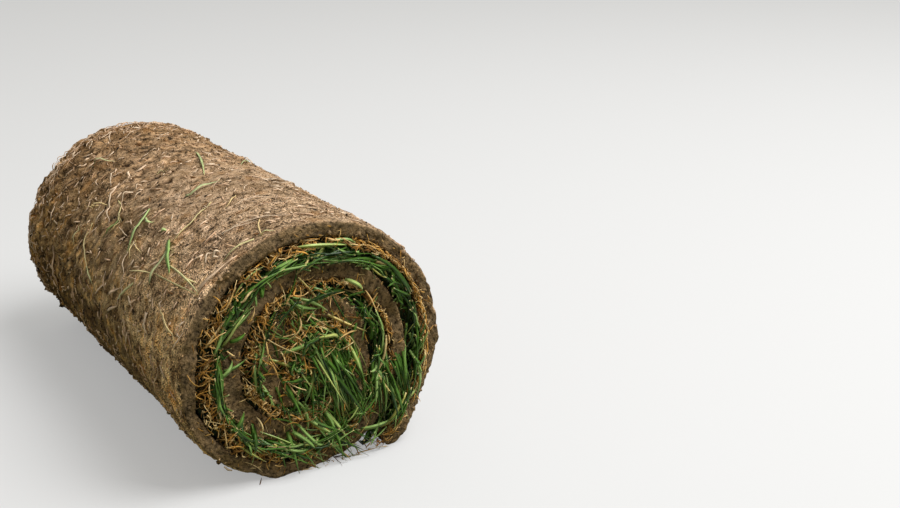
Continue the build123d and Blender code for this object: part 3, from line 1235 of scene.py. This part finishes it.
def crumb_piece(name, random, turn, depth, y, size, small=False):
    """A piece of soil crumbs at places of the strip."""
    shape, faces = crumb_shape(small)
    squash = random.uniform(0.6, 1.2, (len(turn), 1, 3))
    jitter = random.uniform(0.75, 1.25, (len(turn), len(shape), 3))
    offset = shape * squash * jitter * size[:, None, None]
    mesh = joined(name, settled(on_strip(turn, depth, y)[:, None] + offset), faces)
    place = np.stack((winding_length(turn), y, depth), axis=-1)[:, None] + offset
    set_attribute(mesh, "strip_place", place, "FLOAT_VECTOR")
    set_attribute(mesh, "cut", smooth((depth - 0.0012) / 0.004)[:, None] + np.zeros(len(shape)))
    mesh.shade_smooth()
    new_piece(name, mesh, bpy.data.materials["crumbly soil"], "soil")


class TURF_OT_crumbs(bpy.types.Operator):
    """Stick loose crumbs of soil to the soil face and to the cut edges"""

    bl_idname = "turf.crumbs"
    bl_label = "Soil crumbs"

    side = HALF_WIDTH - 0.011
    grains_end, edge_end = math.tau - 0.9, CORE_END - 0.1
    crumb_size, crumb_depth = (0.0005, 0.0015), (-0.0006, 0.0004)
    grain_size, grain_depth = (0.0006, 0.0013), (-0.0004, 0.0003)
    edge_size, edge_depth, edge_out = (0.0007, 0.0018), (0.12, 1.06), (-0.0025, 0.0004)

    def execute(self, context):
        sizes = context.scene.turf_sizes
        random = np.random.default_rng(61)
        count = sizes.crumbs
        turn = spread_turns(random, count, TAIL_TURN, SEEN_END)
        y = random.uniform(-self.side, self.side, count)
        rough = 1 + 0.8 * smooth((y - 0.02) / 0.15)
        size = (self.crumb_size[0] + self.crumb_size[1] * random.random(count) ** 3) * rough
        depth = random.uniform(*self.crumb_depth, count) - face_height(turn, y, sizes)
        crumb_piece("soil_crumbs", random, turn, depth, y, size)
        count = sizes.grains
        turn = spread_turns(random, count, TAIL_TURN, self.grains_end)
        y = random.uniform(-self.side, self.side, count)
        size = random.uniform(*self.grain_size, count)
        depth = random.uniform(*self.grain_depth, count) - face_height(turn, y, sizes)
        crumb_piece("soil_grains", random, turn, depth, y, size, small=True)
        count = sizes.edge_crumbs
        for end, label in ((NEAR, "near"), (FAR, "far")):
            turn = spread_turns(random, count, TAIL_TURN, self.edge_end)
            depth = soil_at(turn) * random.uniform(*self.edge_depth, count)
            place = np.stack((winding_length(turn), np.full(count, end * HALF_WIDTH), depth), axis=-1)
            notch = -np.minimum(crumbled(place, sizes)[2], 0)
            back = edge_drop(HALF_WIDTH - depth, sizes.edge_radius) + notch
            depth = depth + notch * np.maximum(0.6 - depth / SOIL, 0) / 2
            y = end * (HALF_WIDTH - back + random.uniform(*self.edge_out, count))
            size = self.edge_size[0] + self.edge_size[1] * random.random(count) ** 2
            crumb_piece(f"edge_crumbs_{label}", random, turn, depth, y, size)
        return {"FINISHED"}


class TURF_OT_stage(bpy.types.Operator):
    """Set out the floor, the light and the camera"""

    bl_idname = "turf.stage"
    bl_label = "Studio"

    floor_size = 6
    light_strength = 0.42
    light_seen, light_cast = (1.75, 1.75, 1.74), (1.0, 0.98, 0.90)
    lamp_size, lamp_watts = 2.0, 105
    lamp_place, lamp_aim = (1.25, -1.05, 2.55), (0, 0, 0.1)
    camera_lens, camera_sensor = 52.0, 36.0
    camera_place, camera_tilt, camera_swing = (-0.3953, -1.0222, 0.5011), 70.30, -32.12

    def execute(self, context):
        scene = context.scene
        scene.view_settings.view_transform = "Standard"
        mesh = bmesh.new()
        bmesh.ops.create_grid(mesh, x_segments=1, y_segments=1, size=self.floor_size)
        data = finished(mesh, "studio_floor")
        data.materials.append(floor_material(scene.turf_colours))
        floor = linked("studio_floor", data)
        scene.world = bpy.data.worlds.new("studio light")
        made = Nodes(scene.world)
        seen = made.node("ShaderNodeLightPath").outputs["Is Camera Ray"]
        background = made.nodes["Background"].inputs
        made.feed(background["Color"], made.mix("MIX", seen, self.light_cast, self.light_seen))
        made.feed(background["Strength"], self.light_strength)
        light = bpy.data.lights.new("overhead", "AREA")
        light.size = self.lamp_size
        light.energy = self.lamp_watts
        lamp = linked("overhead", light)
        lamp.location = self.lamp_place
        lamp.rotation_euler = (Vector(self.lamp_aim) - lamp.location).to_track_quat("-Z", "Y").to_euler()
        camera = linked("camera", bpy.data.cameras.new("camera"))
        camera.data.lens = self.camera_lens
        camera.data.sensor_width = self.camera_sensor
        camera.location = self.camera_place
        camera.rotation_euler = (math.radians(self.camera_tilt), 0, math.radians(self.camera_swing))
        scene.camera = camera
        return {"FINISHED"}


class TURF_PT_panel(bpy.types.Panel):
    """Buttons for the pieces, and their sizes and colours"""

    bl_idname = "TURF_PT_panel"
    bl_label = "Roll of turf"
    bl_space_type = "VIEW_3D"
    bl_region_type = "UI"
    bl_category = "Turf"

    def draw(self, context):
        for operator in OPERATORS:
            self.layout.operator(operator.bl_idname)
        for settings in (context.scene.turf_sizes, context.scene.turf_colours):
            column = self.layout.column()
            for name in settings.__annotations__:
                column.prop(settings, name)


OPERATORS = (
    TURF_OT_stage,
    TURF_OT_soil_mat,
    TURF_OT_sward,
    TURF_OT_stems,
    TURF_OT_leaves,
    TURF_OT_tufts,
    TURF_OT_strewn,
    TURF_OT_roots,
    TURF_OT_root_ends,
    TURF_OT_loose_leaves,
    TURF_OT_crumbs,
)
CLASSES = (TurfSizes, TurfColours, *OPERATORS, TURF_PT_panel)


def register():
    for shown in CLASSES:
        bpy.utils.register_class(shown)
    bpy.types.Scene.turf_sizes = PointerProperty(type=TurfSizes)
    bpy.types.Scene.turf_colours = PointerProperty(type=TurfColours)


def unregister():
    del bpy.types.Scene.turf_colours
    del bpy.types.Scene.turf_sizes
    for shown in reversed(CLASSES):
        bpy.utils.unregister_class(shown)


def main():
    """Builds every piece in order."""
    register()
    for operator in OPERATORS:
        group, name = operator.bl_idname.split(".")
        getattr(getattr(bpy.ops, group), name)()


if __name__ == "__main__":
    main()
